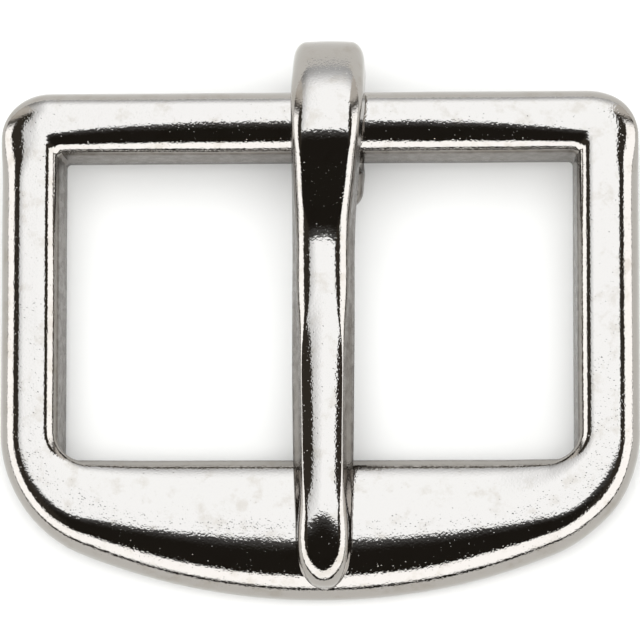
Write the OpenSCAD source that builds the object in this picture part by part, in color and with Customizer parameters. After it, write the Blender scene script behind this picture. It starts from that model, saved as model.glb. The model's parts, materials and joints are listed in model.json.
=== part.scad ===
// Bridle buckle, modelled as it lies by itself: on the back of the tongue's eye and the crescent's edge.
// Each piece is first drawn on the frame's own plane: X along the hinge bar, Y from the crescent to the
// bar, Z from back to front, with Y = 0 on the hinge axis and Z = 0 on the frame's flat back.

/* [Opening] */
// Width of the opening, which the strap fills
opening_w = 38.4; // [34:0.2:42]
// Height of the opening, from the hinge bar to the crescent
opening_h = 22.5; // [20:0.5:26]

/* [Frame] */
// Thickness of the frame, back to front
frame_t = 4; // [3.8:0.1:4.1]
// Width of each side
side_w = 4.7; // [4.2:0.1:5.4]
// Depth of the hinge bar, across the strap's fold
bar_d = 5.1; // [4.8:0.1:5.2]
// Depth of the crescent at its middle
crescent_d = 10.55; // [10.05:0.25:11.3]
// Radius of the two corners beside the hinge bar
top_corner_r = 3.6; // [2.8:0.2:4.4]
// Radius of the two corners beside the crescent
low_corner_r = 9.8; // [8:0.2:11]
// Radius of the crescent's long outer curve
crescent_r = 48; // [44:1:56]
// Lean of the opening's walls, at the front edge
draft = 0.25; // [0.15:0.05:0.4]

/* [Tongue] */
// Radius of the eye's round hole
hole_r = 3.4; // [3.4:0.05:3.5]
// Radius of the eye's outside, at the front and over the top
eye_r = 6.2; // [6:0.1:6.4]
// Thickness of the eye's wall behind the hinge bar
tail_t = 1.5; // [1.3:0.1:1.8]
// Width of the eye
eye_w = 5.4; // [5.2:0.05:5.6]
// Width of the shaft
shaft_w = 4.7; // [4.5:0.05:4.9]
// Gap between the resting tongue and the crescent
rest_gap = 0.12; // [0.1:0.01:0.2]

/* [Hidden] */
plate = "#c9c5bd";

axis_z = frame_t / 2;
half_w = opening_w / 2 + side_w;
opening_top = -bar_d / 2;
opening_low = opening_top - opening_h;
crescent_low = opening_low - crescent_d;

// Between two values or lists, and two curves from 0 to 1: soft at both ends, and soft at the far end only
function mix(a, b, f) = a + (b - a) * f;
function ease(f) = let (c = max(0, min(1, f))) c * c * (3 - 2 * c);
function settle(f) = let (c = max(0, min(1, f))) 1 - (1 - c) * (1 - c);

// Rounded edges of the frame's cross-section, as quarter ellipses: columns reach, fall.
// The inner ones start from the top of the leaning wall, the outer ones from the outline.
REACH = 0;
FALL = 1;
inner_side = [1.35, 1.35];
inner_bar_end = [1.75, 1.4];
inner_bar = [2.75, 1.6];
inner_crescent = [4.5, 2.6];
outer_side = [1.9, 1.9];
outer_low = [2.9, 2.5];
outer_bar = [1.8, 2.2];
outer_crescent = [4.7, 3];

// How far from the sides the bar's own inner edge is reached, and for which share of the crescent
bar_end_len = 14;
crescent_end = 0.35;

// Angles round each edge, from the wall to the face and from the face to the outline
inner_turns = [86, 70, 55, 40, 26, 12, 0];
outer_turns = [0, 12, 26, 40, 55, 70, 90];
edge_break = 0.35;

// Inner corners: radius at the back edge, and at the front edge, which opens quickly
inner_top_corner = [0.3, 0.3];
inner_low_corner = [0.5, 3.2];
corner_opening = 0.4;

// Centres of the outline's lower arcs, which run into each other smoothly
arc_y = crescent_low + crescent_r;
low_corner_x = half_w - low_corner_r;
low_corner_y = arc_y - sqrt(pow(crescent_r - low_corner_r, 2) - low_corner_x * low_corner_x);
join_turn = atan2(arc_y - low_corner_y, low_corner_x);

// Stations down the right half, from the bar's middle to the crescent's middle.
// Columns: stretch, how far along it from 0 to 1
bar_steps = [0, 0.22, 0.42, 0.57, 0.68, 0.78, 0.87, 0.95];
corner_steps = [for (i = [0:6]) i / 6];
side_steps = [0.06, 0.2, 0.4, 0.6, 0.8, 0.94];
low_corner_steps = [for (i = [0:11]) i / 11];
crescent_steps = [0.95, 0.88, 0.8, 0.7, 0.58, 0.4, 0.2, 0];
half_stations = concat(
    [for (f = bar_steps) ["bar", f]],
    [for (f = corner_steps) ["corner", f]],
    [for (f = side_steps) ["side", f]],
    [for (f = low_corner_steps) ["low_corner", f]],
    [for (f = crescent_steps) ["crescent", f]]
);

// A point of the outline with its inward direction: columns x, y, inward x, inward y
function outline(s) = let (
        f = s[1],
        turn = s[0] == "corner" ? 90 - 90 * f : s[0] == "low_corner" ? -join_turn * f : 0,
        sweep = mix(90, join_turn, f)
    )
    s[0] == "bar" ? [f * (half_w - top_corner_r), bar_d / 2, 0, -1] :
    s[0] == "corner" ? [half_w - top_corner_r + top_corner_r * cos(turn),
                        bar_d / 2 - top_corner_r + top_corner_r * sin(turn), -cos(turn), -sin(turn)] :
    s[0] == "side" ? [half_w, mix(bar_d / 2 - top_corner_r, low_corner_y, f), -1, 0] :
    s[0] == "low_corner" ? [low_corner_x + low_corner_r * cos(turn),
                            low_corner_y + low_corner_r * sin(turn), -cos(turn), -sin(turn)] :
    [crescent_r * cos(sweep), arc_y - crescent_r * sin(sweep), -cos(sweep), sin(sweep)];

// A point of the opening's outline at a station, pushed out over the side, and over the bar and crescent
function opening_point(s, over_side, over_ends, top_r, low_r) = let (
        f = s[1],
        w = opening_w / 2 + over_side,
        top = opening_top + over_ends,
        low = opening_low - over_ends,
        turn = s[0] == "corner" ? 90 - 90 * f : -90 * f
    )
    s[0] == "bar" ? [f * (w - top_r), top] :
    s[0] == "corner" ? [w - top_r + top_r * cos(turn), top - top_r + top_r * sin(turn)] :
    s[0] == "side" ? [w, mix(top - top_r, low + low_r, f)] :
    s[0] == "low_corner" ? [w - low_r + low_r * cos(turn), low + low_r + low_r * sin(turn)] :
    [f * (w - low_r), low];

function reach(edge, turn) = edge[REACH] * (1 - sin(turn));
function fall(edge, turn) = edge[FALL] * (1 - cos(turn));

// The inner edge is broad on the bar and the crescent, and slim on the sides
function inner_edge(s) =
    s[0] == "bar" ? mix(inner_bar_end, inner_bar, settle((1 - s[1]) * (half_w - top_corner_r) / bar_end_len)) :
    s[0] == "corner" ? mix(inner_bar_end, inner_side, s[1]) :
    s[0] == "crescent" ? mix(inner_side, inner_crescent, settle((1 - s[1]) / crescent_end)) :
    inner_side;

function inner_point(s, turn) = let (
        edge = inner_edge(s),
        up = 1 - turn / 90,
        p = opening_point(s, draft + reach(inner_side, turn), draft + reach(edge, turn),
            mix(inner_top_corner[0], inner_top_corner[1], up),
            mix(inner_low_corner[0], inner_low_corner[1], pow(up, corner_opening)))
    )
    [p[0], p[1], frame_t - fall(edge, turn)];

// The outer edge broadens through the low corners to the crescent's middle
function outer_edge(s) = let (f = s[1])
    s[0] == "bar" ? outer_bar :
    s[0] == "corner" ? mix(outer_bar, outer_side, f) :
    s[0] == "side" ? outer_side :
    s[0] == "low_corner" ? mix(outer_side, outer_low, f * f * f) :
    mix(outer_crescent, outer_low, f * f);

function outer_point(s, turn) = let (o = outline(s), edge = outer_edge(s), e = reach(edge, turn))
    [o[0] + o[2] * e, o[1] + o[3] * e, frame_t - fall(edge, turn)];

function back_point(s) = let (p = opening_point(s, 0, 0, inner_top_corner[0], inner_low_corner[0]))
    [p[0], p[1], 0];

// One cross-section of the frame, from the opening's back edge over the face to the outer back edge
function section(s) = let (o = outline(s)) concat(
    [back_point(s)],
    [for (turn = inner_turns) inner_point(s, turn)],
    [for (turn = outer_turns) outer_point(s, turn)],
    [[o[0], o[1], edge_break], [o[0] + o[2] * edge_break, o[1] + o[3] * edge_break, 0]]
);

right_sections = [for (s = half_stations) section(s)];
last = len(half_stations) - 1;
left_sections = [for (i = [last - 1:-1:1]) [for (p = right_sections[i]) [-p[0], p[1], p[2]]]];
frame_sections = concat(right_sections, left_sections);

// Skin over a run of equal sections: a closed ring of them, or a run with its two ends capped
module skin(sections, closed) {
    n = len(sections);
    m = len(sections[0]);
    runs = closed ? n : n - 1;
    quads = [for (i = [0:runs - 1], k = [0:m - 1])
        [i * m + k, i * m + (k + 1) % m, (i + 1) % n * m + (k + 1) % m, (i + 1) % n * m + k]];
    halves = [for (q = quads) for (t = [[q[0], q[1], q[2]], [q[0], q[2], q[3]]]) t];
    caps = closed ? [] : [[for (k = [m - 1:-1:0]) k], [for (k = [0:m - 1]) (n - 1) * m + k]];
    polyhedron([for (s = sections) each s], concat(halves, caps));
}

// The tongue's side view, as front and back points of each station.
// Round the eye, an angle runs from the front (0) over the top (90) and the back (180) to the tail (270).
slope = 28;
inside_r = hole_r - 0.1;
tail_r = hole_r + tail_t;
tail_end_r = 6.2;
eye_set_back = 0.6;
eye_bulge = 0.8;

// The eye's outer radius at an angle: set back towards the tip in front, bulging on top, thin behind
function eye_full(a) = eye_r - eye_set_back * sin(min(a, 90)) + eye_bulge * ease((a - 40) / 45);
function eye_out(a) = a < 100 ? eye_full(a)
    : a < 150 ? mix(eye_full(a), tail_r, ease((a - 100) / 50))
    : a < 215 ? tail_r : mix(tail_r, tail_end_r, ease((a - 215) / 50));

// Columns of each station: front y, front z, back y, back z, width, middle x, then how far the side
// leans in, the front edge's reach and fall, the back edge's radius and the crown
eye_x = 0.77;
shaft_x = 0.38;
tip_x = 0.46;
tip_w = 4.3;
crown = 0.04;

// The eye slims and its front edges tighten towards the slope
function eye_station(a) = let (
        slim = max(0, min(1, (40 - a) / (40 + slope))),
        top = ease((a - 20) / 60),
        tail = ease((a - 200) / 50)
    )
    [eye_out(a) * sin(a), axis_z + eye_out(a) * cos(a), inside_r * sin(a), axis_z + inside_r * cos(a),
     mix(eye_w, 5.24, slim), mix(eye_x, 0.66, slim), mix(0.1, 0.22, slim),
     mix(mix(1.45, 0.8, ease(slim)), 0.95, top), mix(0.8, 1.3, top), mix(0.45, 0.7, tail), crown];

// The tail's end is rounded, and lies parallel to the underside of the slope, just clear of it
tail_rows = [
    [-5.8, axis_z + 0.7, -3.4, axis_z + 1.62, eye_w - 0.9, eye_x, 0.1, 0.6, 0.9, 0.6, crown],
    [-6.15, axis_z + 0.3, -3.2, axis_z + 1.4, eye_w - 0.1, eye_x, 0.1, 0.8, 1.1, 0.7, crown]
];

// Height of the crescent's face where the tongue lies on it
function crescent_top(y) = let (
        past = max(0, outer_crescent[REACH] - (y - crescent_low)) / outer_crescent[REACH]
    )
    frame_t - outer_crescent[FALL] * (1 - sqrt(1 - min(0.98, past * past)));
function on_crescent(y) = crescent_top(y) + rest_gap;

// From the eye to the tip, in the same columns
shaft_rows = [
    [-4.3, axis_z + 5.15, -3.1, axis_z + 2.29, 5.14, 0.6, 0.23, 0.8, 0.75, 0.45, crown],
    [-5.3, axis_z + 4.71, -4.15, axis_z + 1.83, 5.02, 0.54, 0.25, 0.8, 0.75, 0.45, crown],
    [-6.2, axis_z + 4.32, -5.1, axis_z + 1.46, 4.92, 0.49, 0.27, 0.85, 0.75, 0.45, crown],
    [-7, axis_z + 4.03, -6.2, axis_z + 1.1, 4.84, 0.45, 0.3, 1, 0.78, 0.45, crown],
    [-7.8, axis_z + 3.82, -7.3, axis_z + 0.92, 4.78, 0.41, 0.34, 1.25, 0.82, 0.45, crown],
    [-8.6, axis_z + 3.71, -8.4, axis_z + 0.85, 4.73, 0.39, 0.37, 1.5, 0.86, 0.45, crown],
    [-9.5, axis_z + 3.66, -9.5, axis_z + 0.83, shaft_w, shaft_x, 0.38, 1.62, 0.9, 0.45, crown],
    [-13, axis_z + 3.72, -13, axis_z + 0.95, shaft_w, shaft_x, 0.34, 1.66, 0.92, 0.45, crown],
    [-18, axis_z + 3.9, -18, axis_z + 1.23, shaft_w, shaft_x, 0.36, 1.66, 0.9, 0.45, crown],
    [-24, axis_z + 4.12, -24, axis_z + 1.86, 4.56, 0.41, 0.42, 1.45, 0.86, 0.45, 0.12],
    [-27, axis_z + 4.23, -27, on_crescent(-27), 4.42, 0.44, 0.34, 1.2, 0.84, 0.4, 0.22],
    [-28.9, axis_z + 4.27, -28.9, on_crescent(-28.9), 4.34, tip_x, 0.28, 1.1, 0.84, 0.35, 0.24],
    [-30, axis_z + 4.23, -29.9, on_crescent(-29.9), tip_w, tip_x, 0.26, 1.05, 0.84, 0.32, 0.15],
    [-31.1, axis_z + 4.1, -31, on_crescent(-31), tip_w, tip_x, 0.25, 1.05, 0.84, 0.3, 0.04]
];

// The tip narrows in plan as a blunt half ellipse. Columns: front y, front height over the axis, back y
tip_rows = [
    [-32.1, 3.92, -31.9],
    [-32.85, 3.7, -32.6],
    [-33.45, 3.42, -33.2],
    [-33.95, 3.05, -33.7],
    [-34.3, 2.65, -34.1],
    [-34.55, 2.2, -34.4],
    [-34.72, 1.8, -34.62],
    [-34.8, 1.5, -34.75]
];
tip_start_y = -30.9;
tip_length = 3.9;
tip_bluntness = 2.4;
function tip_width(y) = tip_w * sqrt(1 - pow((tip_start_y - y) / tip_length, tip_bluntness));
function tip_station(r) = let (w = tip_width(r[2]))
    [r[0], axis_z + r[1], r[2], on_crescent(r[2]), w, tip_x,
     min(0.25, w * 0.06), min(1.05, w * 0.27), 0.84, 0.3, 0.02];

eye_turns = [for (i = [0:24]) mix(270, -slope, i / 24)];
tongue_rows = concat(
    tail_rows,
    [for (a = eye_turns) eye_station(a)],
    shaft_rows,
    [for (r = tip_rows) tip_station(r)]
);

// Cross-section of the tongue: rounded front edges with a slight crown, small rounds at the back
front_turns = [90, 70, 50, 30, 14, 0];
function tongue_half(h, w, lean_in, edge, drop, back_edge, rise) = let (
        b = min(back_edge, h / 4),
        fall = min(drop, h - 2 * b),
        top = min(rise, h / 10),
        front = w / 2 - lean_in
    )
    concat(
        [[w / 2 - b, 0], [w / 2 - 0.3 * b, 0.3 * b], [w / 2, b]],
        [for (t = front_turns) let (x = front - edge * (1 - sin(t)))
            [x, h - fall * (1 - cos(t)) - top * pow(x / front, 2)]]
    );
function tongue_section(r) = let (
        front = [r[0], r[1]],
        back = [r[2], r[3]],
        h = norm(front - back),
        up = (front - back) / h,
        half = tongue_half(h, r[4], r[6], r[7], r[8], r[9], r[10]),
        flat = concat(half, [[0, h]], [for (i = [len(half) - 1:-1:0]) [-half[i][0], half[i][1]]])
    )
    [for (p = flat) [r[5] + p[0], back[0] + up[0] * p[1], back[1] + up[1] * p[1]]];
tongue_sections = [for (r = tongue_rows) tongue_section(r)];

// Rest pose: the frame leans on the crescent's back edge and on the round back of the eye
contact_y = crescent_low + edge_break;
lean = asin(tail_r / norm([contact_y, axis_z])) - atan2(axis_z, -contact_y);
function leaned_y(p) = p[1] * cos(lean) - p[2] * sin(lean);
all_y = [for (s = concat(frame_sections, tongue_sections)) for (p = s) leaned_y(p)];
mid_y = (min(all_y) + max(all_y)) / 2;
floor_z = contact_y * sin(lean);

module at_rest() {
    translate([0, -mid_y, -floor_z]) rotate([lean, 0, 0]) children();
}

// One casting: hinge bar, two sides and the crescent
module frame() {
    color(plate) at_rest() skin(frame_sections, true);
}

// One casting: the eye round the hinge bar, the sloping shaft and the tip on the crescent
module tongue() {
    color(plate) at_rest() difference() {
        skin(tongue_sections, false);
        translate([eye_x - eye_w, 0, axis_z]) rotate([0, 90, 0]) cylinder(r = hole_r, h = 2 * eye_w, $fn = 96);
    }
}

frame();
tongue();
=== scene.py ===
# %% [markdown]
# # A bridle buckle in bright nickel
#
# This lesson dresses a small cast buckle: a frame with a straight hinge bar and a wide crescent, and a
# tongue whose eye wraps the bar. Polished metal has almost no colour of its own. What the eye reads is
# the shape of the reflections, so the lesson is mostly about smooth, true surfaces, the faint unevenness
# of a tumbled casting, and a studio that is worth reflecting.
#
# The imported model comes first. It fixes where each piece is and how it moves.

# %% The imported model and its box
import json
import math

import bmesh
import bpy
from mathutils import Matrix, Vector, noise


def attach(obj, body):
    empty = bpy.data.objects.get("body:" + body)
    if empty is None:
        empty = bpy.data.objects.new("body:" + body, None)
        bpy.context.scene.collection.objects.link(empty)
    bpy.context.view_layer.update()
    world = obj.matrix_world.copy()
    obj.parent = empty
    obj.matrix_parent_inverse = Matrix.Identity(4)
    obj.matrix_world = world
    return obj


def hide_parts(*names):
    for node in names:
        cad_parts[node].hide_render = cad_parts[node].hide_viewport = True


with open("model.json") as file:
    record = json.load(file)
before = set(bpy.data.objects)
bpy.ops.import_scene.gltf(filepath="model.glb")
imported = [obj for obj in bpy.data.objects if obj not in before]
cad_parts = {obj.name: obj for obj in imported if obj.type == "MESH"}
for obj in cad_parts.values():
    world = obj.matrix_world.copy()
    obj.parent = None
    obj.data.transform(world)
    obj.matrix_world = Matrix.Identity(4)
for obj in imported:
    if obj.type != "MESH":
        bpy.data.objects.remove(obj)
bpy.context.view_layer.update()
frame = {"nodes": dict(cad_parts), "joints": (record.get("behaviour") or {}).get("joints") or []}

MM = 0.001
hinge = Vector(frame["joints"][0]["pos_m"])
print("nodes:", sorted(frame["nodes"]), "hinge at", [round(c / MM, 2) for c in hinge], "mm")

# %% [markdown]
# ## The buckle's own measures
#
# A buckle is easiest to describe lying flat: X along the hinge bar, Y from the crescent to the bar, Z from
# its back to its front, with the hinge axis at Y = 0. All sizes here are millimetres. Afterwards one turn
# and one move put it the way it really lies, leaning on the crescent's edge and on the back of the eye.

# %% Sizes in millimetres
OPENING_W, OPENING_H = 38.4, 22.5
FRAME_T, SIDE_W, BAR_D, CRESCENT_D = 4.0, 4.7, 5.1, 10.55
TOP_CORNER_R, LOW_CORNER_R, CRESCENT_R = 3.6, 9.8, 48.0
HOLE_R, EYE_R, TAIL_T = 3.4, 6.2, 1.5
REST_GAP = 0.12
EDGE_BREAK = 0.35

AXIS_Z = FRAME_T / 2
HALF_W = OPENING_W / 2 + SIDE_W
OPENING_TOP = -BAR_D / 2
OPENING_LOW = OPENING_TOP - OPENING_H
CRESCENT_LOW = OPENING_LOW - CRESCENT_D


def mix(a, b, f):
    return a + (b - a) * f


def ease(f):
    """A soft rise from 0 to 1."""
    f = max(0.0, min(1.0, f))
    return f * f * (3 - 2 * f)


def between(value, start, end):
    """A soft rise from 0 at the start to 1 at the end, which may be the smaller number."""
    return ease((value - start) / (end - start))


# %% The way it lies
tail_r = HOLE_R + TAIL_T
contact_y = CRESCENT_LOW + EDGE_BREAK
lean = math.asin(tail_r / math.hypot(contact_y, AXIS_Z)) - math.atan2(AXIS_Z, -contact_y)
rest = (Matrix.Translation(hinge) @ Matrix.Rotation(lean, 4, "X") @ Matrix.Scale(MM, 4)
        @ Matrix.Translation((0, 0, -AXIS_Z)))
print("the frame leans", round(math.degrees(lean), 2), "degrees")

# %% [markdown]
# ## The frame
#
# The real frame is one casting. Its cross-section changes all the way round: the sides are slim with a
# narrow flat, the hinge bar is rounder, and the crescent falls away to its edge in a broad curve. It could
# be carved from a box with bevels, but bevels keep one width, and these don't. So a flat sheet of squares
# is bent instead: its long way follows the outline, its short way rolls round the cross-section.

# %% Where the outline's curves run into each other
arc_y = CRESCENT_LOW + CRESCENT_R
low_corner_x = HALF_W - LOW_CORNER_R
low_corner_y = arc_y - math.sqrt((CRESCENT_R - LOW_CORNER_R) ** 2 - low_corner_x ** 2)
join_turn = math.degrees(math.atan2(arc_y - low_corner_y, low_corner_x))


def on_arc(x, y, r, turn):
    turn = math.radians(turn)
    return x + r * math.cos(turn), y + r * math.sin(turn), -math.cos(turn), -math.sin(turn)


def outline(stretch, f):
    """The outline's point a part f along a stretch, and its inward direction."""
    if stretch == "bar":
        return f * (HALF_W - TOP_CORNER_R), BAR_D / 2, 0.0, -1.0
    if stretch == "corner":
        return on_arc(HALF_W - TOP_CORNER_R, BAR_D / 2 - TOP_CORNER_R, TOP_CORNER_R, 90 - 90 * f)
    if stretch == "side":
        return HALF_W, mix(BAR_D / 2 - TOP_CORNER_R, low_corner_y, f), -1.0, 0.0
    if stretch == "low_corner":
        return on_arc(low_corner_x, low_corner_y, LOW_CORNER_R, -join_turn * f)
    return on_arc(0.0, arc_y, CRESCENT_R, mix(-90, -join_turn, f))


print("the crescent's curve joins the corner's at", round(join_turn, 1), "degrees")


# %% The opening's edge, pushed out over the side, the bar and the crescent
def opening(stretch, f, over_side, over_bar, over_crescent, top_r, low_r):
    w = OPENING_W / 2 + over_side
    top = OPENING_TOP + over_bar
    low = OPENING_LOW - over_crescent
    if stretch == "bar":
        return f * (w - top_r), top
    if stretch == "corner":
        return on_arc(w - top_r, top - top_r, top_r, 90 - 90 * f)[:2]
    if stretch == "side":
        return w, mix(top - top_r, low + low_r, f)
    if stretch == "low_corner":
        return on_arc(w - low_r, low + low_r, low_r, -90 * f)[:2]
    return f * (w - low_r), low


halfway = opening("side", 0.5, 0, 0, 0, 0, 0)
print("the opening's edge halfway down its side:", [round(c, 2) for c in halfway], "mm")

# %% [markdown]
# Each edge of the cross-section is a quarter ellipse, which is what grinding and tumbling leave of a cast
# edge. One that reaches far in and falls little mirrors a broad band, and a small even one mirrors a thin
# line. A bevel would be quicker, but here each stretch has its own sizes and blends into the next one's.

# %% Rounded edges of the cross-section, as quarter ellipses: how far in, how far down
INNER_SIDE, INNER_BAR_END, INNER_BAR, INNER_CRESCENT = (1.35, 1.35), (1.75, 1.4), (2.75, 1.6), (4.5, 2.6)
OUTER_SIDE, OUTER_LOW, OUTER_BAR, OUTER_CRESCENT = (1.9, 1.9), (2.9, 2.5), (1.8, 2.2), (4.7, 2.8)
OUTER_CORNER, INNER_LOW = (3.0, 1.25), (2.2, 1.7)


def reach(edge, turn):
    return edge[0] * (1 - math.sin(turn))


def fall(edge, turn):
    return edge[1] * (1 - math.cos(turn))


fallen = fall(OUTER_CRESCENT, math.radians(45))
print("halfway round, the crescent's outer edge has fallen", round(fallen, 2), "mm")

# %% The opening's edges and walls
# How far one edge takes to turn into the next: on the bar in millimetres, on the crescent as a share of it
BAR_END, CRESCENT_END = 14.0, 0.45
# The walls open towards the front: the crescent's by less, and the bar's by a little more at its back
DRAFT, LOW_DRAFT, BAR_LEAN = 0.25, 0.05, 0.1
# Radii of the opening's corners. The low ones grow from the back to the front, fastest near the back
INNER_TOP_R = 0.3
INNER_LOW_R, LOW_R_GROWTH = (0.5, 3.2), 0.4


def blend(a, b, f):
    return tuple(mix(p, q, f) for p, q in zip(a, b))


def settle(f):
    """Rises steeply at first and arrives softly."""
    f = max(0.0, min(1.0, f))
    return 1 - (1 - f) ** 2


def inner_edge(stretch, f):
    if stretch == "bar":
        return blend(INNER_BAR_END, INNER_BAR, settle((1 - f) * (HALF_W - TOP_CORNER_R) / BAR_END))
    if stretch == "corner":
        return blend(INNER_BAR_END, INNER_SIDE, f)
    if stretch == "crescent":
        return blend(INNER_LOW, INNER_CRESCENT, settle((1 - f) / CRESCENT_END))
    if stretch == "low_corner":
        return blend(INNER_SIDE, INNER_LOW, max(0.0, 2 * f - 1) ** 2)
    return INNER_SIDE


def inner_point(stretch, f, turn):
    edge = inner_edge(stretch, f)
    up = 1 - turn / (math.pi / 2)
    over_side = DRAFT + reach(INNER_SIDE, turn)
    over_bar = DRAFT + reach(edge, turn)
    over_low = LOW_DRAFT + reach(edge, turn)
    low_r = mix(*INNER_LOW_R, up ** LOW_R_GROWTH)
    x, y = opening(stretch, f, over_side, over_bar, over_low, INNER_TOP_R, low_r)
    return x, y, FRAME_T - fall(edge, turn)


print("reach and fall in the middle of the bar:", inner_edge("bar", 0), "mm")
print("and in the middle of the crescent:", inner_edge("crescent", 0), "mm")

# %% The outer edges
# Below the upper corner they change over CORNER_END millimetres, and in it over a share of the corner
CORNER_END, CORNER_SHARE = 3.2, 0.85


def outer_edge(stretch, f):
    if stretch == "bar":
        return OUTER_BAR
    if stretch == "corner":
        return blend(OUTER_BAR, OUTER_CORNER, ease(f / CORNER_SHARE))
    if stretch == "side":
        length = BAR_D / 2 - TOP_CORNER_R - low_corner_y
        return blend(OUTER_CORNER, OUTER_SIDE, ease(f * length / CORNER_END))
    if stretch == "low_corner":
        return blend(OUTER_SIDE, OUTER_LOW, f ** 3)
    return blend(OUTER_CRESCENT, OUTER_LOW, f * f)


def outer_point(stretch, f, turn):
    edge = outer_edge(stretch, f)
    x, y, in_x, in_y = outline(stretch, f)
    e = reach(edge, turn)
    return x + in_x * e, y + in_y * e, FRAME_T - fall(edge, turn)


print("the flat starts", round(HALF_W - outer_point("side", 0.5, 0)[0], 2), "mm from the side's outline")

# %% One cross-section, rolled from the opening's back edge over the face to the back again
WALL_STEPS, INNER_STEPS, FACE_STEPS, OUTER_STEPS, EDGE_STEPS, BACK_STEPS = 4, 16, 5, 20, 5, 4
# The inner edge's curve stops just short of upright, and the wall goes on from there
STEEPEST = math.radians(86)


def section(stretch, f):
    back = opening(stretch, f, 0, -BAR_LEAN, 0, INNER_TOP_R, INNER_LOW_R[0])
    wall_top = inner_point(stretch, f, STEEPEST)
    inner = [inner_point(stretch, f, STEEPEST * (1 - i / INNER_STEPS)) for i in range(INNER_STEPS + 1)]
    outer = [outer_point(stretch, f, math.pi / 2 * i / OUTER_STEPS) for i in range(OUTER_STEPS + 1)]
    x, y, in_x, in_y = outline(stretch, f)
    edge = []
    for i in range(EDGE_STEPS + 1):
        turn = math.pi / 2 * i / EDGE_STEPS
        e = EDGE_BREAK * (1 - math.cos(turn))
        edge.append((x + in_x * e, y + in_y * e, EDGE_BREAK * (1 - math.sin(turn))))
    wall = [blend((*back, 0.0), wall_top, i / WALL_STEPS) for i in range(WALL_STEPS)]
    face = [blend(inner[-1], outer[0], i / FACE_STEPS) for i in range(1, FACE_STEPS)]
    floor_side = [blend(edge[-1], (*back, 0.0), i / BACK_STEPS) for i in range(1, BACK_STEPS)]
    return wall + inner + face + outer + edge + floor_side


print("points in a cross-section:", len(section("side", 0.5)))

# %% Stations along half the frame, from the middle of the bar to the middle of the crescent
STRETCHES = (("bar", 60), ("corner", 20), ("side", 40), ("low_corner", 44), ("crescent", 50))


def stations():
    """Every stretch with its parts f. The crescent is counted from its middle, so it runs backwards."""
    for stretch, count in STRETCHES:
        first = 0.5 if stretch == "side" else 0.0
        for i in range(count):
            f = (i + first) / count
            yield stretch, (1 - f if stretch == "crescent" else f)
    yield "crescent", 0.0


print("stations along half the frame:", len(list(stations())))

# %% [markdown]
# A casting that has been tumbled smooth is never quite true. Its faces swell and sink by a few hundredths
# of a millimetre, which is enough to make the edge of a reflection wander. A bump map could imitate that, but
# then an edge's outline would stay perfect, so the points themselves are moved. The same noise is used for
# both pieces, in real millimetres, so it has one scale on the whole object. Every point moves inwards by at
# least a hundredth, so the dressed piece stays inside the size of its solid.

# %% The unevenness of a tumbled casting
SWELL_MM, SWELL_DEPTH = 5.0, 0.016
SWELL_START = Vector((11.3, 4.7, 2.1))
FINER, FINER_SHARE = 2.3, 0.5
SWELL_MEAN, SWELL_LEAST = 1.6, 0.8


def uneven(bm):
    """Moves each point of a flat-lying mesh a little inwards, along its own normal."""
    bmesh.ops.recalc_face_normals(bm, faces=bm.faces)
    bm.normal_update()
    for v in bm.verts:
        place = v.co / SWELL_MM + SWELL_START
        swell = noise.noise(place) + FINER_SHARE * noise.noise(place * FINER)
        v.co -= v.normal * max(SWELL_LEAST, swell + SWELL_MEAN) * SWELL_DEPTH


print("the faces sink by", round(SWELL_MEAN * SWELL_DEPTH, 3), "mm on average")


# %% From a flat-lying mesh to an object in its rest pose
def finished(bm, name):
    """Puts a flat-lying bmesh in its rest pose and makes it an object at the origin."""
    bmesh.ops.transform(bm, matrix=rest, verts=bm.verts)
    bmesh.ops.recalc_face_normals(bm, faces=bm.faces)
    mesh = bpy.data.meshes.new(name)
    bm.to_mesh(mesh)
    bm.free()
    mesh.shade_smooth()
    piece = bpy.data.objects.new(name, mesh)
    bpy.context.collection.objects.link(piece)
    print(name, "has", len(mesh.polygons), "faces")
    return piece


# %% A sheet that is bent round rows of points
SAME_PLACE = 1e-5


def bent_sheet(rows):
    """A sheet of squares whose points are moved to the rows, and whose short way is rolled shut."""
    bm = bmesh.new()
    count = len(rows[0])
    bmesh.ops.create_grid(bm, x_segments=len(rows) - 1, y_segments=count, size=1.0)
    for v in bm.verts:
        i = round((v.co.x + 1) / 2 * (len(rows) - 1))
        k = round((v.co.y + 1) / 2 * count)
        v.co = rows[i][k % count]
    bmesh.ops.remove_doubles(bm, verts=bm.verts, dist=SAME_PLACE)
    return bm


# %% The frame's mesh: half of it, then its mirror image
MIDDLE_SEAM = 1e-4
casting = bent_sheet([section(*s) for s in stations()])
print("points in half the frame:", len(casting.verts))
whole_half = casting.verts[:] + casting.edges[:] + casting.faces[:]
bmesh.ops.mirror(casting, geom=whole_half, axis="X", merge_dist=MIDDLE_SEAM)
bmesh.ops.remove_doubles(casting, verts=casting.verts, dist=MIDDLE_SEAM)

# %% The right side is a little wider, on the inside
WALL_IN = 0.24
WALL_IN_RISE, WALL_IN_FADE = (8.0, 18.0), (22.8, 20.2)
for v in casting.verts:
    v.co.x -= WALL_IN * between(v.co.x, *WALL_IN_RISE) * between(v.co.x, *WALL_IN_FADE)
uneven(casting)
buckle_frame = finished(casting, "buckle_frame")

# %% [markdown]
# ## The tongue
#
# The tongue is a second casting. A thick eye is wrapped round the hinge bar, a slope leads down from it,
# the shaft lies across the opening, and the tip bends over the crescent. It could be joined from a ring and
# a bar, but on the real one they run into each other without a seam. So its side view is drawn as rows that
# give the front and the back of the metal, the width and how round the front edges are. A smooth curve runs
# close to the rows, and again a sheet is bent round them.

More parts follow.
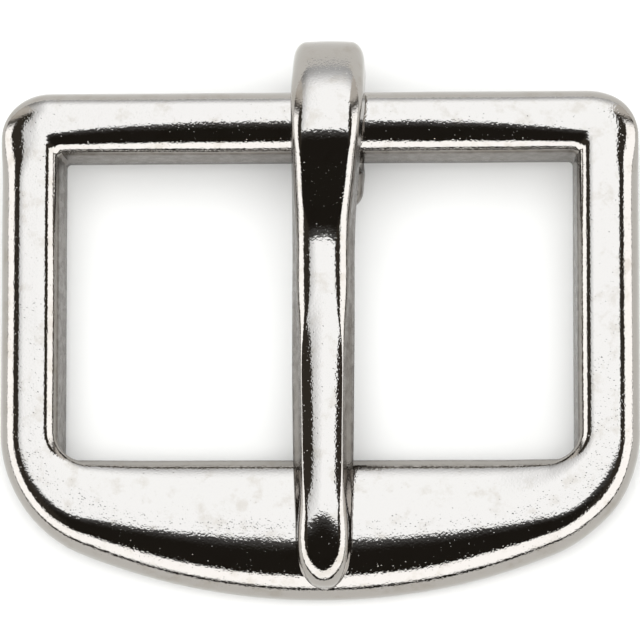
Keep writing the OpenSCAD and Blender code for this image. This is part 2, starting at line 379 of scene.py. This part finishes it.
# %% Widths of the tongue and where their middles are, in X
EYE_W, EYE_X = 5.6, 0.79
SLOPE_W, SLOPE_X = 5.24, 0.66
EYE_BACK_W, EYE_BACK_X = 5.3, 0.6
TAIL_W, TAIL_X = 5.3, 0.77
SHAFT_W, SHAFT_X = 4.7, 0.38
TIP_W, TIP_X, TIP_LENGTH = 4.3, 0.46, 3.9
print("the shaft is", round(SHAFT_W / OPENING_W, 3), "of the opening's width")

# %% How far out the eye goes: its angle runs from the front (0) over the top (90) and the back (180)
SLOPE, SLIM_FROM, TAIL_END = -28, 15, 270
TAIL_END_R = 6.2
EYE_SET_BACK, EYE_BULGE = 0.6, 0.8


def eye_out(turn):
    """The eye leans a little towards the tip, its far side bulges, and its tail is thinner."""
    set_back = EYE_SET_BACK * math.sin(math.radians(min(turn, 90)))
    full = EYE_R - set_back + EYE_BULGE * between(turn, 40, 85)
    thinned = mix(full, tail_r, between(turn, 100, 150))
    return mix(thinned, TAIL_END_R, between(turn, 215, 265))


print("the eye's radius, front, top and back:", [round(eye_out(turn), 2) for turn in (0, 90, 180)], "mm")

# %% Rows round the eye, in the same columns as the shaft's rows, with heights over the back of the frame
CROWN, EYE_CROWN = 0.04, 0.26
BACK_EDGE = 0.45
# On the front of the eye, on the slope below it and over its top
FRONT_LEAN, SLOPE_LEAN = 0.1, 0.22
FRONT_REACH, SLOPE_REACH, TOP_REACH = 1.45, 0.8, 0.95
FRONT_FALL, TOP_FALL = 0.8, 1.3


def eye_row(turn):
    a = math.radians(turn)
    slim = max(0.0, min(1.0, (SLIM_FROM - turn) / (SLIM_FROM - SLOPE)))
    top = between(turn, 20, 80)
    behind = between(turn, 70, 110)
    tail = between(turn, 215, 255)
    crowned = between(turn, -15, 25) * between(turn, 100, 60)
    width = mix(mix(mix(EYE_W, SLOPE_W, slim), EYE_BACK_W, behind), TAIL_W, tail)
    middle = mix(mix(mix(EYE_X, SLOPE_X, slim), EYE_BACK_X, behind), TAIL_X, tail)
    front = (eye_out(turn) * math.sin(a), AXIS_Z + eye_out(turn) * math.cos(a))
    back = (HOLE_R * math.sin(a), AXIS_Z + HOLE_R * math.cos(a))
    lean_in = mix(FRONT_LEAN, SLOPE_LEAN, slim)
    edge = mix(mix(FRONT_REACH, SLOPE_REACH, ease(slim)), TOP_REACH, top)
    drop = mix(FRONT_FALL, TOP_FALL, top)
    return (*front, *back, width, middle, lean_in, edge, drop, BACK_EDGE, CROWN + EYE_CROWN * crowned)


EYE_STEPS = 36
eye_rows = [eye_row(mix(TAIL_END, SLOPE, i / EYE_STEPS)) for i in range(EYE_STEPS + 1)]
print("rows round the eye:", len(eye_rows))


# %% How high the tip's back lies over the crescent
def crescent_top(y):
    past = max(0.0, OUTER_CRESCENT[0] - (y - CRESCENT_LOW)) / OUTER_CRESCENT[0]
    return FRAME_T - OUTER_CRESCENT[1] * (1 - math.sqrt(1 - min(0.98, past * past)))


def lying(y):
    return crescent_top(y) + REST_GAP


print("the tip's back lies", round(lying(-30), 2), "mm over the back of the frame")

# %% Rows from the slope over the shaft to the tip
# Columns: front y, front height over the axis, back y, back height, width, middle x, then how far the side
# leans in, the front edge's reach and fall, the back edge's radius and the crown
SHAFT_ROWS = (
    (-4.3, 5.15, -3.1, 2.29, 5.14, 0.6, 0.23, 0.8, 0.75, 0.45, CROWN),
    (-5.3, 4.71, -4.15, 1.83, 5.02, 0.54, 0.25, 0.8, 0.75, 0.45, CROWN),
    (-6.2, 4.32, -5.1, 1.46, 4.92, 0.49, 0.27, 0.85, 0.75, 0.45, CROWN),
    (-7.0, 4.03, -6.2, 1.1, 4.84, 0.45, 0.3, 1.0, 0.78, 0.45, CROWN),
    (-7.8, 3.82, -7.3, 0.92, 4.78, 0.41, 0.34, 1.25, 0.82, 0.45, CROWN),
    (-8.6, 3.71, -8.4, 0.85, 4.73, 0.39, 0.37, 1.5, 0.86, 0.45, CROWN),
    (-9.5, 3.66, -9.5, 0.83, SHAFT_W, SHAFT_X, 0.38, 1.62, 0.9, 0.45, CROWN),
    (-11.0, 3.67, -11.0, 0.87, SHAFT_W, SHAFT_X, 0.36, 1.66, 0.9, 0.45, CROWN),
    (-13.0, 3.72, -13.0, 0.95, SHAFT_W, SHAFT_X, 0.34, 1.66, 0.92, 0.45, CROWN),
    (-15.4, 3.8, -15.4, 1.08, SHAFT_W, SHAFT_X, 0.6, 0.35, 0.32, 0.45, 0.32),
    (-18.0, 3.9, -18.0, 1.23, SHAFT_W, SHAFT_X, 0.66, 0.15, 0.2, 0.45, 0.36),
    (-20.8, 4.01, -20.8, 1.53, 4.66, 0.39, 0.68, 0.15, 0.2, 0.45, 0.36),
    (-24.0, 4.12, -24.0, 1.86, 4.56, 0.41, 0.68, 0.15, 0.2, 0.45, 0.35),
    (-27.0, 4.23, -27.0, lying(-27.0) - AXIS_Z, 4.42, 0.44, 0.6, 0.2, 0.25, 0.4, 0.38),
    (-28.9, 4.28, -28.9, lying(-28.9) - AXIS_Z, 4.34, TIP_X, 0.4, 0.65, 0.65, 0.35, 0.27),
    (-30.0, 4.27, -29.9, lying(-29.9) - AXIS_Z, TIP_W, TIP_X, 0.26, 0.95, 0.84, 0.32, 0.15),
    (-31.1, 4.15, -31.0, lying(-31.0) - AXIS_Z, TIP_W, TIP_X, 0.25, 1.05, 0.84, 0.3, -0.02),
)
shaft_rows = [(row[0], AXIS_Z + row[1], row[2], AXIS_Z + row[3], *row[4:]) for row in SHAFT_ROWS]
print("rows from the slope to the tip:", len(shaft_rows))

# %% Rows of the tip, which is rounded like half an egg
# Columns: front y, front height over the axis, back y
TIP_ROWS = (
    (-32.1, 3.95, -31.9),
    (-32.85, 3.7, -32.6),
    (-33.45, 3.42, -33.2),
    (-33.95, 3.1, -33.7),
    (-34.35, 2.75, -34.1),
    (-34.6, 2.3, -34.4),
    (-34.7, 1.85, -34.6),
    (-34.75, 1.5, -34.7),
)
TIP_START_Y, TIP_END_Y = -30.9, -34.82
TIP_ROUNDNESS = 2.4
# The side's lean, the front edge's reach, its growth and its fall, the back edge's radius and the crown
TIP_LEAN, TIP_REACH, TIP_REACH_GROWTH, TIP_FALL, TIP_BACK_EDGE, TIP_CROWN = 0.25, 1.05, 0.5, 0.84, 0.3, -0.06
# Where the tip gets narrow, its lean and its reach are these shares of the width
LEAN_SHARE, REACH_SHARE = 0.06, 0.42


def tip_row(front_y, height, back_y):
    past = max(0.0, TIP_START_Y - back_y) / TIP_LENGTH
    width = TIP_W * math.sqrt(1 - past ** TIP_ROUNDNESS)
    lean_in = min(TIP_LEAN, width * LEAN_SHARE)
    edge = min(TIP_REACH + TIP_REACH_GROWTH * past, width * REACH_SHARE)
    return (front_y, AXIS_Z + height, back_y, lying(back_y), width, TIP_X, lean_in, edge, TIP_FALL,
            TIP_BACK_EDGE, TIP_CROWN * (1 - past))


tip_end_row = (TIP_END_Y, AXIS_Z + 1.25, TIP_END_Y, lying(TIP_END_Y) + 0.3, 0.45, TIP_X,
               0.02, 0.18, 0.3, 0.12, 0.0)
tip_rows = [tip_row(*r) for r in TIP_ROWS] + [tip_end_row]
print("the tip narrows to", [round(r[4], 2) for r in tip_rows], "mm")

# %% The tail's end is a round bump: its rows get smaller all round
TAIL_ROWS = [
    (-5.4, AXIS_Z + 1.2, -3.7, AXIS_Z + 1.62, TAIL_W - 1.8, TAIL_X, 0.1, 0.6, 0.8, 0.5, CROWN),
    (-5.9, AXIS_Z + 0.9, -3.35, AXIS_Z + 1.4, TAIL_W - 1.0, TAIL_X, 0.1, 0.8, 1.0, 0.6, CROWN),
    (-6.15, AXIS_Z + 0.4, -3.25, AXIS_Z + 0.8, TAIL_W - 0.3, TAIL_X, 0.1, 0.9, 1.2, 0.6, CROWN),
]
tongue_rows = TAIL_ROWS + eye_rows + shaft_rows + tip_rows
print("rows along the tongue:", len(tongue_rows))


# %% A smooth curve near the rows, which has no sudden change of bend
def smooth_rows(rows, per_row):
    """A cubic B-spline near the rows, with its ends held."""
    held = [rows[0], rows[0]] + rows + [rows[-1], rows[-1]]
    result = []
    for i in range(len(held) - 3):
        for k in range(per_row):
            t = k / per_row
            weights = ((1 - t) ** 3, 3 * t ** 3 - 6 * t * t + 4, -3 * t ** 3 + 3 * t * t + 3 * t + 1, t ** 3)
            result.append([sum(w * held[i + j][c] for j, w in enumerate(weights)) / 6
                           for c in range(len(rows[0]))])
    result.append(list(rows[-1]))
    return result


ROWS_BETWEEN = 6
rows = smooth_rows(tongue_rows, ROWS_BETWEEN)
print("rows on the smooth curve:", len(rows))

# %% Half of the tongue's cross-section: a rounded front edge, a slight crown, a small round at the back
FLAT_POINTS, BACK_POINTS, SIDE_POINTS, FRONT_POINTS, CROWN_POINTS = 3, 4, 3, 12, 5


def half_section(height, width, lean_in, edge, drop, back_edge, crown):
    """Points from the middle of the back to the middle of the front, on the right."""
    most = height / 4
    b = min(back_edge, most)
    drop = min(drop, height - 2 * b)
    crown = min(crown, most)
    front = width / 2 - lean_in
    flat = front - edge

    def front_height(x, down):
        return height - down - crown * (x / front) ** 2

    points = [((width / 2 - b) * i / FLAT_POINTS, 0.0) for i in range(FLAT_POINTS)]
    for i in range(BACK_POINTS + 1):
        a = math.pi / 2 * i / BACK_POINTS
        points.append((width / 2 - b + b * math.sin(a), b - b * math.cos(a)))
    side_top = front_height(front, drop)
    points += [(width / 2 - lean_in * i / SIDE_POINTS, mix(b, side_top, i / SIDE_POINTS))
               for i in range(1, SIDE_POINTS)]
    for i in range(FRONT_POINTS + 1):
        a = math.pi / 2 * (1 - i / FRONT_POINTS)
        x = flat + edge * math.sin(a)
        points.append((x, front_height(x, drop * (1 - math.cos(a)))))
    for i in range(1, CROWN_POINTS):
        x = flat * (1 - i / CROWN_POINTS)
        points.append((x, front_height(x, 0)))
    return points


# %% The whole cross-section, set up between the back and the front of its row
# The shaft's face is turned a little about its length, from one place in Y to another
SHAFT_ROLL, ROLL_RISE, ROLL_FADE = 0.045, (-9, -15), (-29, -25)
# A shallow hollow is worn into the ridge near the tip
HOLLOW, HOLLOW_R, HOLLOW_RISE, HOLLOW_FADE = 0.1, 0.75, (-28.7, -31.9), (-34.1, -32.3)


def tongue_section(row):
    front_y, front_z, back_y, back_z, width, middle = row[:6]
    back = Vector((middle, back_y, back_z))
    up = Vector((0.0, front_y - back_y, front_z - back_z))
    height = up.length
    up.normalize()
    right = half_section(height, width, *row[6:])
    left = [(-x, z) for x, z in reversed(right[1:])]
    roll = SHAFT_ROLL * between(front_y, *ROLL_RISE) * between(front_y, *ROLL_FADE)
    hollow = HOLLOW * between(front_y, *HOLLOW_RISE) * between(front_y, *HOLLOW_FADE)
    points = []
    for x, z in right + [(0.0, height)] + left:
        raised = roll * x - hollow * math.exp(-(x / HOLLOW_R) ** 2)
        points.append(back + Vector((x, 0, 0)) + up * (z + z / height * raised))
    return points


print("points in the tongue's cross-section:", len(tongue_section(rows[0])))

# %% The tongue's mesh, whose two ends are closed
tongue_mesh = bent_sheet([tongue_section(r) for r in rows])
bmesh.ops.holes_fill(tongue_mesh, edges=[e for e in tongue_mesh.edges if e.is_boundary])
uneven(tongue_mesh)
buckle_tongue = finished(tongue_mesh, "buckle_tongue")

# %% [markdown]
# ## Bright nickel on cast steel
#
# Nickel is a warm white metal. It mirrors what is round it, a little dimmer and yellower. Under the plating
# the casting still has fine grain, ripples and small pits. They are far too small to see as shapes, but they
# break up the edges of the reflections. They could be modelled, but that would take millions of points, so a
# bump gives them to the shading alone. The opening's walls were never polished: there the metal is rougher,
# mottled and darker. Part of that darkness is painted shade, standing in for the shade that the walls mirror
# from the floor inside the opening. All patterns are measured in real millimetres on the piece itself.

# %% Colours, nodes and the metal
def linear(hex_colour):
    """Turns an sRGB hex colour into the linear values that shaders use."""
    parts = [int(hex_colour[i:i + 2], 16) / 255 for i in (1, 3, 5)]
    return [p / 12.92 if p <= 0.04045 else ((p + 0.055) / 1.055) ** 2.4 for p in parts] + [1.0]


def add(tree, kind, settings=None, *in_order, **by_name):
    """Adds a node with its settings, and links or sets its inputs, in order or by name."""
    node = tree.nodes.new(kind)
    for name, value in (settings or {}).items():
        setattr(node, name, value)
    for key, value in list(enumerate(in_order)) + [(k.replace("_", " "), v) for k, v in by_name.items()]:
        if isinstance(value, bpy.types.NodeSocket):
            tree.links.new(value, node.inputs[key])
        else:
            node.inputs[key].default_value = value
    return node


STEP = {"interpolation_type": "SMOOTHSTEP"}
TIMES = {"operation": "MULTIPLY"}
TIMES_PLUS = {"operation": "MULTIPLY_ADD"}
print("mid grey #808080 is", round(linear("#808080")[0], 3), "in linear light")

# %% The fine surface: a height in thousandths of a millimetre
# The real grain is finer. It is drawn coarser, so that it shows at the picture's scale
MICRON = 1e-6
RIPPLE_MM, RIPPLE_HEIGHT = 1.5, 8.0
GRAIN_MM, GRAIN_HEIGHT = 0.18, 7.5
CLUSTER_MM, FEW, MANY = 3.5, 0.42, 0.62
# Columns: spacing and radius in millimetres, depth in microns, share of cells where sparse, where dense
DENTS = ((1.1, 0.09, 12.0, 0.2, 0.5), (0.36, 0.06, 10.0, 0.12, 0.7), (0.19, 0.085, 3.4, 0.4, 0.9))


def fine_surface(tree, where):
    """Ripples and grain of the casting, less its pits and specks, which gather in clusters."""
    ripple = add(tree, "ShaderNodeTexNoise", Vector=where, Scale=1 / (RIPPLE_MM * MM), Detail=2.0)
    grain = add(tree, "ShaderNodeTexNoise", Vector=where, Scale=1 / (GRAIN_MM * MM), Detail=1.0)
    crowd = add(tree, "ShaderNodeTexNoise", Vector=where, Scale=1 / (CLUSTER_MM * MM), Detail=3.0)
    height = add(tree, "ShaderNodeMath", TIMES, grain.outputs[0], GRAIN_HEIGHT)
    height = add(tree, "ShaderNodeMath", TIMES_PLUS, ripple.outputs[0], RIPPLE_HEIGHT, height.outputs[0])
    for spacing, radius, depth, sparse, dense in DENTS:
        cells = add(tree, "ShaderNodeTexVoronoi", Vector=where, Scale=1 / (spacing * MM))
        away = cells.outputs["Distance"]
        pit = add(tree, "ShaderNodeMapRange", STEP, away, 0.0, radius / spacing, 1.0, 0.0)
        share = add(tree, "ShaderNodeMapRange", None, crowd.outputs[0], FEW, MANY, sparse, dense)
        chance = add(tree, "ShaderNodeSeparateXYZ", None, cells.outputs["Color"])
        there = add(tree, "ShaderNodeMath", {"operation": "LESS_THAN"}, chance.outputs["X"], share.outputs[0])
        dent = add(tree, "ShaderNodeMath", TIMES, pit.outputs[0], there.outputs[0])
        height = add(tree, "ShaderNodeMath", TIMES_PLUS, dent.outputs[0], -depth, height.outputs[0])
    return height.outputs[0]


# %% Where the polish doesn't reach, with painted shade: steep faces inside the opening
opening_middle = rest @ Vector((0, OPENING_TOP - OPENING_H / 2, AXIS_Z))
DULL_SHADE_EDGE, DULL_SHADE_FADE = 0.5, 2.2 * MM
DULL_SHADE_X, DULL_SHADE_Y = (OPENING_W / 2 + DULL_SHADE_EDGE) * MM, (OPENING_H / 2 + DULL_SHADE_EDGE) * MM
STEEP_FROM, STEEP_TO = 0.6, 0.3
# The wall under the bar faces the crescent, and is a little less dull and gets a little less painted shade
UNDER_BAR, LOW_FACING_FROM, LOW_FACING_TO = 0.78, -0.3, -0.9
MOTTLE_MM, MOTTLE_FROM, MOTTLE_TO, MOTTLE_LEAST = 0.7, 0.35, 0.6, 0.7


def dull_shaded_places(tree, where):
    """From 0 on polished metal to 1 on the dull, mottled walls, whose darker colour is partly painted shade."""
    normal = add(tree, "ShaderNodeNewGeometry").outputs["Normal"]
    facing = add(tree, "ShaderNodeSeparateXYZ", None, normal).outputs
    steep = add(tree, "ShaderNodeMapRange", STEP, facing["Z"], STEEP_FROM, STEEP_TO)
    under_bar = add(tree, "ShaderNodeMapRange", None, facing["Y"], LOW_FACING_FROM, LOW_FACING_TO,
                    1.0, UNDER_BAR)
    from_middle = add(tree, "ShaderNodeVectorMath", {"operation": "SUBTRACT"}, where, opening_middle)
    apart = add(tree, "ShaderNodeVectorMath", {"operation": "ABSOLUTE"}, from_middle.outputs[0])
    apart = add(tree, "ShaderNodeSeparateXYZ", None, apart.outputs[0]).outputs
    in_x = add(tree, "ShaderNodeMapRange", None, apart["X"], DULL_SHADE_X + DULL_SHADE_FADE, DULL_SHADE_X)
    in_y = add(tree, "ShaderNodeMapRange", None, apart["Y"], DULL_SHADE_Y + DULL_SHADE_FADE, DULL_SHADE_Y)
    mottle = add(tree, "ShaderNodeTexNoise", Vector=where, Scale=1 / (MOTTLE_MM * MM), Detail=5.0,
                 Roughness=0.6)
    dull_shade = add(tree, "ShaderNodeMapRange", None, mottle.outputs[0], MOTTLE_FROM, MOTTLE_TO, MOTTLE_LEAST, 1.0)
    for part in (steep, in_x, in_y, under_bar):
        dull_shade = add(tree, "ShaderNodeMath", TIMES, dull_shade.outputs[0], part.outputs[0])
    return dull_shade.outputs[0]


# %% Bright nickel
STAIN_MM, STAIN_FROM, STAIN_TO = 1.6, 0.5, 0.7
# The third colour is for the walls inside the opening: partly their real unpolished metal, partly painted shade
CLEAN, STAINED, DULL_SHADED = "#9c9893", "#948f88", "#4d453c"
MIRROR_ROUGHNESS, WALL_ROUGHNESS = 0.055, 0.3


def bright_nickel(name):
    """Tumbled, nickel-plated casting: a sharp mirror with ragged reflections, specks and faint stains."""
    material = bpy.data.materials.new(name)
    material.use_nodes = True
    tree = material.node_tree
    tree.nodes.clear()
    where = add(tree, "ShaderNodeTexCoord").outputs["Object"]
    cloud = add(tree, "ShaderNodeTexNoise", Vector=where, Scale=1 / (STAIN_MM * MM), Detail=6.0,
                Roughness=0.6)
    stain = add(tree, "ShaderNodeMapRange", STEP, cloud.outputs[0], STAIN_FROM, STAIN_TO)
    dull_shade = dull_shaded_places(tree, where)
    colour = add(tree, "ShaderNodeMixRGB", None, stain.outputs[0], linear(CLEAN), linear(STAINED))
    # Painted shade: the steep walls inside the opening are mixed towards a dark colour, on top of their real
    # mottling
    colour = add(tree, "ShaderNodeMixRGB", None, dull_shade, colour.outputs[0], linear(DULL_SHADED))
    roughness = add(tree, "ShaderNodeMapRange", None, dull_shade, 0.0, 1.0, MIRROR_ROUGHNESS, WALL_ROUGHNESS)
    relief = add(tree, "ShaderNodeBump", Distance=MICRON, Height=fine_surface(tree, where))
    metal = add(tree, "ShaderNodeBsdfPrincipled", Metallic=1.0, Roughness=roughness.outputs[0],
                Base_Color=colour.outputs[0], Normal=relief.outputs["Normal"])
    add(tree, "ShaderNodeOutputMaterial", Surface=metal.outputs["BSDF"])
    return material


for piece, finish in ((buckle_frame, "bright_nickel_frame"), (buckle_tongue, "bright_nickel_tongue")):
    piece.data.materials.append(bright_nickel(finish))
    print(piece.name, "is finished in", piece.data.materials[0].name)

# %% [markdown]
# ## The studio
#
# The reflections say what stands round the buckle: a white box overhead that runs on to the far horizon
# behind the hinge bar and is dimmer on the left and low down, dark ceiling to the left, right and front of
# it, a low ring of white walls, and a pale table. Lamps and cards could be set up for all that. But a sky
# that is painted from the direction alone is quicker to shape, and it is the same for every camera.

# %% The table: matt card, which looks the same from all sides. It is there for the picture only
FLOOR_M = 1.6
floor_mesh = bpy.data.meshes.new("floor")
floor_bm = bmesh.new()
bmesh.ops.create_grid(floor_bm, x_segments=1, y_segments=1, size=FLOOR_M / 2)
floor_bm.to_mesh(floor_mesh)
floor_bm.free()
floor = bpy.data.objects.new("floor", floor_mesh)
bpy.context.collection.objects.link(floor)
table = bpy.data.materials.new("pale_table")
table.use_nodes = True
table.node_tree.nodes.clear()
paint = add(table.node_tree, "ShaderNodeBsdfDiffuse", None, linear("#f6f6f4"))
add(table.node_tree, "ShaderNodeOutputMaterial", Surface=paint.outputs["BSDF"])
floor_mesh.materials.append(table)
print("the table is", FLOOR_M, "metres wide")

# %% The sky: each term is a brightness from 0 to 1, made from the direction's X, Y and Z
sky = bpy.data.worlds.new("studio")
bpy.context.scene.world = sky
sky.use_nodes = True
tree = sky.node_tree
tree.nodes.clear()
direction = add(tree, "ShaderNodeTexCoord").outputs["Generated"]
compass = add(tree, "ShaderNodeSeparateXYZ", None, direction).outputs

# %% The white box: its left and right borders spread towards the back, and its front one is soft
BOX_LEFT, BOX_RIGHT, BOX_FRONT = -0.47, 0.41, -0.11
BOX_SPREAD, BORDER = 0.12, 0.02
FRONT_FROM, FRONT_TO = BOX_FRONT - 0.03, BOX_FRONT + 0.012
GLOW_FROM, GLOW_TO, GLOW = BOX_FRONT - 0.24, BOX_FRONT - 0.01, 0.05
DIM_LEFT, DIM_END = 0.55, -0.12
HAZE_TOP, HAZE_DIM = 0.62, 0.36
backward = add(tree, "ShaderNodeMath", {"operation": "MAXIMUM"}, compass["Y"], 0.0)
from_left = add(tree, "ShaderNodeMath", TIMES_PLUS, backward.outputs[0], BOX_SPREAD, compass["X"])
from_right = add(tree, "ShaderNodeMath", TIMES_PLUS, backward.outputs[0], -BOX_SPREAD, compass["X"])
right_of = add(tree, "ShaderNodeMapRange", STEP, from_left.outputs[0], BOX_LEFT - BORDER, BOX_LEFT + BORDER)
left_of = add(tree, "ShaderNodeMapRange", STEP, from_right.outputs[0], BOX_RIGHT + BORDER, BOX_RIGHT - BORDER)
beyond = add(tree, "ShaderNodeMapRange", STEP, compass["Y"], FRONT_FROM, FRONT_TO)
glow = add(tree, "ShaderNodeMapRange", STEP, compass["Y"], GLOW_FROM, GLOW_TO, 0.0, GLOW)
beyond = add(tree, "ShaderNodeMath", {"operation": "MAXIMUM"}, beyond.outputs[0], glow.outputs[0])
dimming = add(tree, "ShaderNodeMapRange", None, compass["X"], BOX_LEFT, DIM_END, DIM_LEFT, 1.0)
haze = add(tree, "ShaderNodeMapRange", STEP, compass["Z"], 0.0, HAZE_TOP, HAZE_DIM, 1.0)
across = add(tree, "ShaderNodeMath", TIMES, right_of.outputs[0], left_of.outputs[0])
window = add(tree, "ShaderNodeMath", TIMES, across.outputs[0], beyond.outputs[0])
shaded = add(tree, "ShaderNodeMath", TIMES, dimming.outputs[0], haze.outputs[0])
box = add(tree, "ShaderNodeMath", TIMES, window.outputs[0], shaded.outputs[0])

# %% The far backdrop, which is grey, and the low ring of walls, whose rim and foot slope
FAR_FROM, FAR_TO = 0.46, 0.62
LOW_FROM, LOW_TO = 0.88, 0.66
RIM_SLOPE, RIM_FROM, RIM_TO = -0.17, 0.60, 0.56
FOOT_SLOPE, FOOT_FROM, FOOT_TO = 0.12, -0.02, 0.08
NEAR_FROM, NEAR_TO = 0.5, 0.25
far = add(tree, "ShaderNodeMapRange", STEP, compass["Y"], FAR_FROM, FAR_TO)
low_down = add(tree, "ShaderNodeMapRange", STEP, compass["Z"], LOW_FROM, LOW_TO)
no_box = add(tree, "ShaderNodeMath", {"operation": "SUBTRACT"}, 1.0, window.outputs[0])
far_low = add(tree, "ShaderNodeMath", TIMES, far.outputs[0], low_down.outputs[0])
backdrop = add(tree, "ShaderNodeMath", TIMES, far_low.outputs[0], no_box.outputs[0])
rightward = add(tree, "ShaderNodeMath", {"operation": "MAXIMUM"}, compass["X"], 0.0)
raised = add(tree, "ShaderNodeMath", TIMES_PLUS, rightward.outputs[0], RIM_SLOPE, compass["Z"])
forward = add(tree, "ShaderNodeMath", {"operation": "MINIMUM"}, compass["Y"], 0.0)
sunk = add(tree, "ShaderNodeMath", TIMES_PLUS, forward.outputs[0], FOOT_SLOPE, compass["Z"])
under_rim = add(tree, "ShaderNodeMapRange", STEP, raised.outputs[0], RIM_FROM, RIM_TO)
over_table = add(tree, "ShaderNodeMapRange", STEP, sunk.outputs[0], FOOT_FROM, FOOT_TO)
near = add(tree, "ShaderNodeMapRange", STEP, compass["Y"], NEAR_FROM, NEAR_TO)
walls = add(tree, "ShaderNodeMath", TIMES, under_rim.outputs[0], over_table.outputs[0])
near_walls = add(tree, "ShaderNodeMath", TIMES, walls.outputs[0], near.outputs[0])
ring = add(tree, "ShaderNodeMath", TIMES, near_walls.outputs[0], no_box.outputs[0])

# %% The dark room, which is a little lighter to both sides
ROOM_LIGHT, ROOM_SIDE_LIGHT = 0.03, 0.08
SIDE_FROM, SIDE_TO = 0.3, 0.5
sideways = add(tree, "ShaderNodeMath", {"operation": "ABSOLUTE"}, compass["X"])
room_power = add(tree, "ShaderNodeMapRange", STEP, sideways.outputs[0], SIDE_FROM, SIDE_TO,
                 ROOM_LIGHT, ROOM_SIDE_LIGHT)

# %% Brightnesses and colours, added up. The lights are a little cool, because the nickel makes them warmer
BOX_LIGHT, RING_LIGHT, BACKDROP_LIGHT = 3.0, 3.0, 1.1
box_power = add(tree, "ShaderNodeMath", TIMES, box.outputs[0], BOX_LIGHT)
ring_power = add(tree, "ShaderNodeMath", TIMES, ring.outputs[0], RING_LIGHT)
backdrop_power = add(tree, "ShaderNodeMath", TIMES, backdrop.outputs[0], BACKDROP_LIGHT)
parts = (
    add(tree, "ShaderNodeBackground", None, linear("#f4f9ff"), box_power.outputs[0]),
    add(tree, "ShaderNodeBackground", None, linear("#fafcff"), ring_power.outputs[0]),
    add(tree, "ShaderNodeBackground", None, linear("#fffcf8"), backdrop_power.outputs[0]),
    add(tree, "ShaderNodeBackground", None, linear("#fff0dc"), room_power.outputs[0]),
)
total = parts[0]
for part in parts[1:]:
    total = add(tree, "ShaderNodeAddShader", None, total.outputs[0], part.outputs[0])

# %% [markdown]
# The metal mirrors this painted sky. The table is lit by an even white dome and one lamp instead, and the
# empty background is plain pale, so the metal's contrasts don't spoil the floor.

# %% What the metal mirrors, what lights the table and what the camera sees
DOME_LIGHT = 0.7
ray = add(tree, "ShaderNodeLightPath").outputs
dome = add(tree, "ShaderNodeBackground", None, linear("#ffffff"), DOME_LIGHT)
seen = add(tree, "ShaderNodeBackground", None, linear("#fafaf8"), 1.0)
lighting = add(tree, "ShaderNodeMixShader", None, ray["Is Diffuse Ray"], total.outputs[0], dome.outputs[0])
either = add(tree, "ShaderNodeMixShader", None, ray["Is Camera Ray"], lighting.outputs[0], seen.outputs[0])
add(tree, "ShaderNodeOutputWorld", Surface=either.outputs[0])
print("nodes in the sky:", len(tree.nodes))

# %% A broad soft lamp for the table, which the metal doesn't mirror
LAMP_M, LAMP_W, LAMP_PLACE = 1.3, 6.5, (0.0, 0.1, 0.9)
lamp_data = bpy.data.lights.new("table_lamp", "AREA")
lamp_data.shape, lamp_data.size, lamp_data.energy = "DISK", LAMP_M, LAMP_W
lamp = bpy.data.objects.new("table_lamp", lamp_data)
lamp.location = LAMP_PLACE
lamp.visible_glossy = False
bpy.context.collection.objects.link(lamp)

# %% [markdown]
# ## The camera
#
# It looks down on the buckle's face, almost square to it: a few degrees from the crescent's side and a few
# from the right. It stands 30 cm away, so the far edges look hardly smaller than the near ones.

# %% The camera: tilts and roll in degrees, lengths in millimetres
# SPAN_MM of the buckle's face fill SPAN_PX of the picture's FRAME_PX pixels
VIEW_TILT, VIEW_SIDE, VIEW_ROLL = 5.0, 3.0, 0.03
DISTANCE = 300.0
SPAN_MM, SPAN_PX, FRAME_PX = 47.65, 637, 640
AIM = Vector((0.05, -14.66, FRAME_T / 2))
camera_data = bpy.data.cameras.new("camera")
camera = bpy.data.objects.new("camera", camera_data)
bpy.context.collection.objects.link(camera)
bpy.context.scene.camera = camera
half_field = SPAN_MM * FRAME_PX / SPAN_PX / 2
camera_data.lens = camera_data.sensor_width / 2 * DISTANCE / half_field
camera_data.clip_start, camera_data.clip_end = 0.01, 10.0
towards = Vector((math.sin(math.radians(VIEW_SIDE)), -math.sin(math.radians(VIEW_TILT)), 1.0)).normalized()
turn_to_rest = rest.to_3x3().normalized()
axis_z = (turn_to_rest @ towards).normalized()
axis_x = (turn_to_rest @ Vector((0.0, 1.0, 0.0))).cross(axis_z).normalized()
axis_y = axis_z.cross(axis_x)
camera.location = rest @ (AIM + towards * DISTANCE)
facing = Matrix((axis_x, axis_y, axis_z)).transposed()
camera.rotation_euler = (facing @ Matrix.Rotation(math.radians(VIEW_ROLL), 3, "Z")).to_euler()
bpy.context.scene.view_settings.view_transform = "Standard"
print("the camera stands at", [round(c, 3) for c in camera.location], "metres")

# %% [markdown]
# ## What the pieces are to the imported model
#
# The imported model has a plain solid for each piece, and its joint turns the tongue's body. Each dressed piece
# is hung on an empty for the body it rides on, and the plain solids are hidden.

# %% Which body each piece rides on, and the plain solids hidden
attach(buckle_frame, "frame")
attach(buckle_tongue, "tongue")
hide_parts("frame")
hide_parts("tongue")
